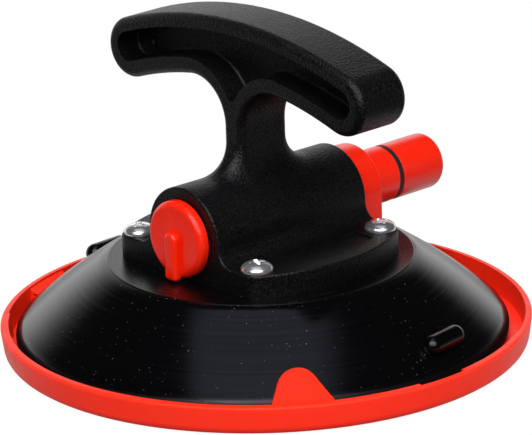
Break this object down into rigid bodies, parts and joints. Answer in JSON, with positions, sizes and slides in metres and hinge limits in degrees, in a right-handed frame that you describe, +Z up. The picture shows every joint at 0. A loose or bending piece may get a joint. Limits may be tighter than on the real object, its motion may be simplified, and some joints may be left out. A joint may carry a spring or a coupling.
{
  "type": "vacuum suction cup",
  "caption": "Hand-pumped vacuum suction cup with a T grip, rubber cup, spring plunger pump and release knob, sitting in its push-fit protective cover.",
  "frame": {"origin": "on the axis of the rubber cup, in the plane of the surface that the protective cover stands on; the loose cover's own axis lies 1.2 mm from it", "axes": "+Z up through the cup and grip; +X along the pump barrel towards the plunger; the grip lies along Y"},
  "size_m": [0.1647, 0.1648, 0.105],
  "materials": {
    "housing_plastic": "fine-grained black moulding",
    "cup_rubber": "smooth satin black rubber",
    "zinc_steel": "zinc plated",
    "screw_chrome": "bright plated",
    "seal_rubber": "matt nitrile rubber",
    "brass": "turned",
    "filter_felt": "pressed felt",
    "inner_plastic": "natural acetal",
    "aluminium": "drawn tube",
    "red_plastic": "glossy red moulding",
    "spring_steel": "drawn wire",
    "cover_plastic": "satin red moulding"
  },
  "bodies": {
    "handle": {"handle_housing": "housing_plastic", "vacuum_cup": "cup_rubber", "mounting_plate": "zinc_steel", "flange_screws": "screw_chrome", "pump_port_gasket": "seal_rubber", "release_port_gasket": "seal_rubber", "valve_seat": "brass", "check_valve": "seal_rubber", "filter_disc": "filter_felt", "filter_retainer": "inner_plastic", "cylinder_liner": "aluminium", "end_collar": "red_plastic", "wiper_ring": "seal_rubber", "stop_bumper": "seal_rubber", "spring_guide": "inner_plastic", "return_spring": "spring_steel", "retaining_pins": "spring_steel"},
    "plunger": {"plunger": "red_plastic", "indicator_band": "seal_rubber", "piston_seal": "seal_rubber", "seal_retainer": "inner_plastic"},
    "release_valve": {"valve_plug": "brass", "plug_seals": "seal_rubber", "release_knob": "red_plastic"},
    "cover": {"protective_cover": "cover_plastic"}
  },
  "joints": [
    {"name": "plunger_slide", "type": "slide", "parent": "handle", "child": "plunger", "axis": [-1, 0, 0], "range_m": [0, 0.026], "stiffness_N_per_m": 300, "springref_m": -0.02, "deforming": ["return_spring"]},
    {"name": "knob_turn", "type": "hinge", "parent": "handle", "child": "release_valve", "pos_m": [-0.035, 0, 0.0416], "axis": [1, 0, 0], "range_deg": [0, 90]},
    {"name": "cover_liftoff", "type": "slide", "parent": "handle", "child": "cover", "axis": [0, 0, -1], "range_m": [0, 0.03]}
  ]
}
